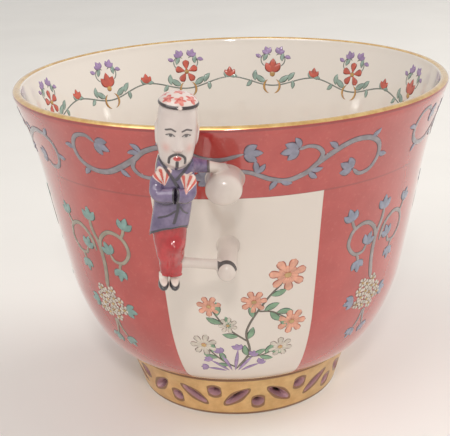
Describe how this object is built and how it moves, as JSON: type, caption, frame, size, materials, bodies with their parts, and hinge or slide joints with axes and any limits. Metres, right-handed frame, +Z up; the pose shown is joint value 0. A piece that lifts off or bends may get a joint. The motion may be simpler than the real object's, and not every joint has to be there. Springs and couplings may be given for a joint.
{
  "type": "footed cup",
  "caption": "Flared tea cup on a pierced, gilded foot ring, with a small standing figure held off the wall by short struts as its handle.",
  "frame": {"origin": "on the table, under the middle of the bounding box of the whole cup with its handle", "axes": "+Z up along the cup, -Y towards the handle, +X to the right of somebody who faces the handle"},
  "size_m": [0.09, 0.1034, 0.0773],
  "materials": {
    "red_glaze": "glossy enamelled porcelain with reserved panels and painted flowers",
    "white_glaze": "glossy white porcelain glaze",
    "gilding": "worn burnished gilding on porcelain",
    "skin_enamel": "glossy white porcelain with a thin flesh tint",
    "blue_enamel": "glossy purple-blue enamel",
    "red_enamel": "glossy iron-red enamel",
    "black_enamel": "glossy black enamel"
  },
  "bodies": {
    "root": {"bowl": "red_glaze", "foot_ring": "gilding", "upper_strut": "white_glaze", "lower_strut": "white_glaze", "figure_head": "skin_enamel", "figure_cap": "white_glaze", "figure_jacket": "blue_enamel", "figure_sleeve_right": "blue_enamel", "figure_sleeve_left": "blue_enamel", "figure_trousers": "red_enamel", "figure_foot_right": "black_enamel", "figure_foot_left": "black_enamel"}
  },
  "joints": []
}
